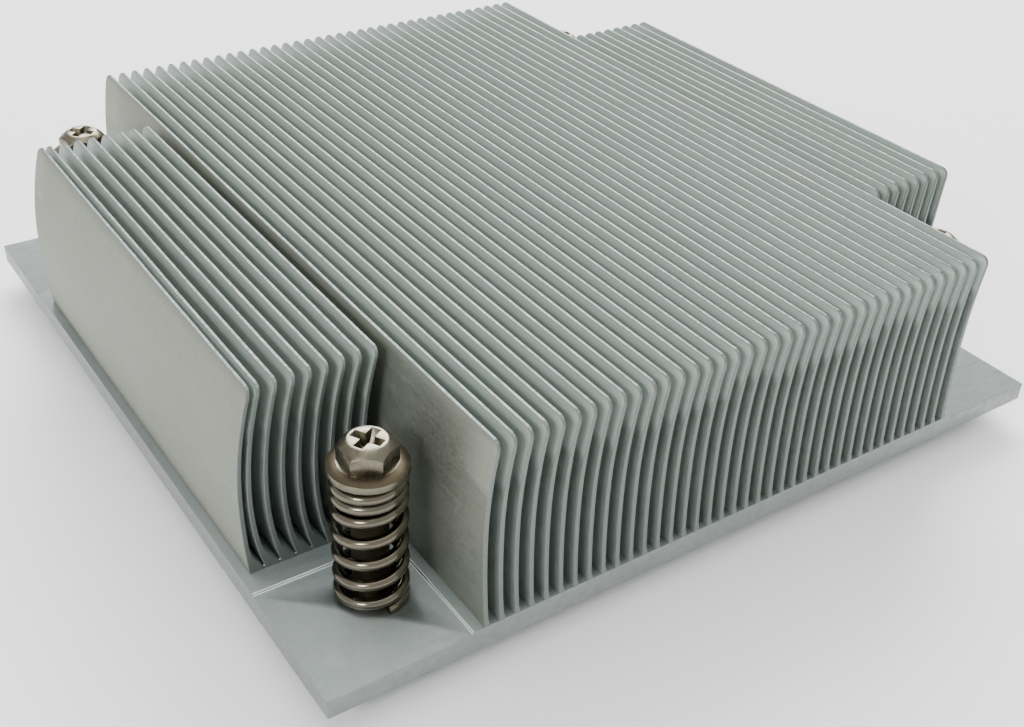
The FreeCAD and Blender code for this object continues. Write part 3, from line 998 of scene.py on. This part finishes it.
def spring_form(sizes):
    """A compression spring on the z axis, wound in one run of wire with its ends ground flat."""
    form = bmesh.new()
    low, high = SPRING_LOW.z, SPRING_HIGH.z
    radius = sizes.wire / 2
    circle = bmesh.ops.create_circle(form, cap_ends=True, segments=WIRE_SIDES, radius=radius)
    made = circle["verts"]
    turn(form, made, 90.0, "X")
    ground = GROUND * sizes.wire
    bmesh.ops.translate(form, verts=made, vec=(sizes.outer - radius, 0, low + ground))
    closed = CLOSED_PITCH * sizes.wire
    feet, heads = sizes.foot_turns, sizes.head_turns
    rise = (high - low) - 2 * ground - closed * (feet + heads)
    quick = rise / sizes.open_turns
    between = (2 * COIL_EASE, (closed + quick) / 2)
    stages = (
        (feet - COIL_EASE, closed),
        between,
        (sizes.open_turns - 2 * COIL_EASE, quick),
        between,
        (heads - COIL_EASE, closed),
    )
    edges = form.edges[:]
    for turns, pitch in stages:
        steps = max(2, round(COIL_STEPS * turns))
        edges = wind(form, edges, pitch * turns / steps, turns, steps)
    bmesh.ops.contextual_create(form, geom=edges)
    outward(form)
    for height, outer in ((low, -1), (high, 1)):
        bmesh.ops.bisect_plane(
            form,
            geom=form.verts[:] + form.edges[:] + form.faces[:],
            dist=1e-8,
            plane_co=(0, 0, height),
            plane_no=(0, 0, outer),
            clear_outer=True,
        )
        rim = [e for e in form.edges if e.is_boundary]
        bmesh.ops.holes_fill(form, edges=rim, sides=0)
    outward(form)
    return form


def ring_form(sizes):
    """A retaining ring on the z axis: a stamped washer with a mouth, a bore and two reliefs."""
    low, high = RING_LOW.z, RING_HIGH.z
    below, above = low - OVER / 2, high + OVER / 2
    form = disc(sizes.ring, low, high, steps=64)
    out = sizes.ring_bore + sizes.ring_relief / 2
    angle = math.radians(RELIEF_ANGLE)
    aside, back = out * math.cos(angle), -out * math.sin(angle)
    for x, y, radius in (
        (0.0, 0.0, sizes.ring_bore),
        (aside, back, sizes.ring_relief),
        (-aside, back, sizes.ring_relief),
    ):
        cutter = disc(radius, below, above, steps=40)
        bmesh.ops.translate(cutter, verts=cutter.verts, vec=(x, y, 0))
        form = carve(form, cutter)
    cutter = bmesh.new()
    half = sizes.ring_mouth / 2
    box(cutter, (-half, 0.0, below), (half, sizes.ring * 1.5, above))
    form = carve(form, cutter)
    outward(form)
    ease_edges(form, RING_EDGE, sharper=40.0)
    return form


def place_copy(stock, name, corner, degrees, finishes, crease=35.0):
    """Stand a copy of a mesh on a corner's screw axis, turned, with its place in its mesh."""
    form = bmesh.new()
    form.from_mesh(stock)
    turn(form, form.verts, degrees)
    bmesh.ops.translate(form, verts=form.verts, vec=corner_axis(corner))
    return cast(name, form, [finish_of(item) for item in finishes], crease)


# ---------------------------------------------------------------- operators


class HEATSINK_OT_body(Operator):
    """Model the base plate and its fins"""

    bl_idname = "heatsink.body"
    bl_label = "Heatsink Body"

    def execute(self, context):
        form = model_body(context.scene.heatsink_body)
        finishes = [finish_of(name) for name in BODY_FINISHES]
        piece = cast("skived_body", form, finishes, crease=40.0)
        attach(piece, "sink")
        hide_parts("heatsink")
        return {"FINISHED"}


class HEATSINK_OT_screws(Operator):
    """Model the four captive screws"""

    bl_idname = "heatsink.screws"
    bl_label = "Captive Screws"

    def execute(self, context):
        stock = stock_mesh("screw_stock", screw_form(context.scene.heatsink_screw))
        for corner in CORNERS:
            name = f"captive_screw_{corner}"
            piece = place_copy(stock, name, corner, HEAD_TURNS[corner], SCREW_FINISHES)
            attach(piece, f"screw_{corner}")
            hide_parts(f"screw_{corner}")
        bpy.data.meshes.remove(stock)
        return {"FINISHED"}


class HEATSINK_OT_springs(Operator):
    """Wind the four compression springs"""

    bl_idname = "heatsink.springs"
    bl_label = "Compression Springs"

    def execute(self, context):
        sizes = context.scene.heatsink_spring
        stock = stock_mesh("spring_stock", spring_form(sizes))
        for corner in CORNERS:
            name = f"wound_spring_{corner}"
            piece = place_copy(stock, name, corner, WIRE_START, ("spring_wire",), crease=50.0)
            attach(piece, "sink")
            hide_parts(f"spring_{corner}")
            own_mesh(piece)
        bpy.data.meshes.remove(stock)
        return {"FINISHED"}


class HEATSINK_OT_rings(Operator):
    """Model the four retaining rings under the base"""

    bl_idname = "heatsink.rings"
    bl_label = "Retaining Rings"

    def execute(self, context):
        stock = stock_mesh("ring_stock", ring_form(context.scene.heatsink_screw))
        for corner in CORNERS:
            piece = place_copy(stock, f"snap_ring_{corner}", corner, 0.0, ("stamped_steel",))
            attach(piece, f"ring_{corner}")
            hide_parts(f"retaining_ring_{corner}")
        bpy.data.meshes.remove(stock)
        return {"FINISHED"}


# Place, aim, and width and height of each softbox; the stage's settings give their power.
SOFTBOXES = {
    "back": ((0.5, 0.7, 0.65), (0.0, 0.0, 0.0), (0.9, 0.7)),
    "overhead": ((0.0, 0.0, 0.9), (0.0, 0.0, 0.0), (0.7, 0.7)),
    "side": ((-0.42, -0.22, 0.28), (-0.04, -0.03, 0.01), (0.13, 0.09)),
}
FLOOR_REACH = 3.0
SENSOR_WIDTH = 36.0


def looking(place, aim):
    """How a light or camera is turned when it looks from one point at another."""
    return (Vector(aim) - Vector(place)).to_track_quat("-Z", "Y")


def softbox(name, place, aim, size, watts):
    """Hang a rectangular area light."""
    light = bpy.data.lights.new(name, "AREA")
    light.shape = "RECTANGLE"
    light.size, light.size_y = size
    light.energy = watts
    lamp = bpy.data.objects.new(name, light)
    lamp.location = place
    lamp.rotation_euler = looking(place, aim).to_euler()
    bpy.context.scene.collection.objects.link(lamp)


def plain_floor(tone):
    """Lay a matt floor under the screws' tips."""
    form = bmesh.new()
    bmesh.ops.create_grid(form, x_segments=1, y_segments=1, size=FLOOR_REACH)
    bmesh.ops.translate(form, verts=form.verts, vec=(0, 0, TABLE_TOP))
    paper = bpy.data.materials.new("pale_floor")
    paper.use_nodes = True
    shader = paper.node_tree.nodes["Principled BSDF"]
    shader.inputs["Base Color"].default_value = tuple(tone) + (1.0,)
    shader.inputs["Roughness"].default_value = 0.9
    shader.inputs["Specular IOR Level"].default_value = 0.2
    return cast("floor", form, [paper])


def stand_camera(stage):
    """Make the camera and hand it to the scene."""
    lens = bpy.data.cameras.new("camera")
    lens.sensor_width = SENSOR_WIDTH
    lens.lens = stage.focal
    lens.clip_start = MM
    camera = bpy.data.objects.new("camera", lens)
    rolled = looking(stage.eye, stage.aim).to_matrix() @ Matrix.Rotation(stage.roll, 3, "Z")
    camera.matrix_world = Matrix.Translation(stage.eye) @ rolled.to_4x4()
    bpy.context.scene.collection.objects.link(camera)
    bpy.context.scene.camera = camera


class HEATSINK_OT_stage(Operator):
    """Set up the plain floor, the soft light and the camera"""

    bl_idname = "heatsink.stage"
    bl_label = "Stage"

    def execute(self, context):
        stage = context.scene.heatsink_stage
        floor = plain_floor(stage.floor)
        world = bpy.data.worlds.new("studio")
        context.scene.world = world
        world.use_nodes = True
        sky = world.node_tree.nodes["Background"]
        sky.inputs["Color"].default_value = (1.0, 1.0, 1.0, 1.0)
        sky.inputs["Strength"].default_value = stage.sky
        for name, (place, aim, size) in SOFTBOXES.items():
            softbox(f"{name}_softbox", place, aim, size, getattr(stage, name))
        stand_camera(stage)
        return {"FINISHED"}


class HEATSINK_PT_panel(Panel):
    """Buttons and sizes for the heatsink"""

    bl_label = "Heatsink"
    bl_idname = "HEATSINK_PT_panel"
    bl_space_type = "VIEW_3D"
    bl_region_type = "UI"
    bl_category = "Heatsink"

    def draw(self, context):
        layout = self.layout
        for step in STEPS:
            layout.operator(step.bl_idname)
        for name in GROUPS:
            settings = getattr(context.scene, name)
            column = layout.column(align=True)
            for field in settings.__annotations__:
                column.prop(settings, field)


GROUPS = {
    "heatsink_body": BodySizes,
    "heatsink_screw": ScrewSizes,
    "heatsink_spring": SpringSizes,
    "heatsink_finishes": Finishes,
    "heatsink_stage": Stage,
}
STEPS = (
    HEATSINK_OT_body,
    HEATSINK_OT_screws,
    HEATSINK_OT_springs,
    HEATSINK_OT_rings,
    HEATSINK_OT_stage,
)
CLASSES = (*GROUPS.values(), *STEPS, HEATSINK_PT_panel)


def register():
    for cls in CLASSES:
        bpy.utils.register_class(cls)
    for name, kind in GROUPS.items():
        setattr(bpy.types.Scene, name, PointerProperty(type=kind))


def unregister():
    for name in GROUPS:
        delattr(bpy.types.Scene, name)
    for cls in reversed(CLASSES):
        bpy.utils.unregister_class(cls)


def main():
    register()
    bpy.ops.heatsink.body()
    bpy.ops.heatsink.screws()
    bpy.ops.heatsink.springs()
    bpy.ops.heatsink.rings()
    bpy.ops.heatsink.stage()


if __name__ == "__main__":
    main()
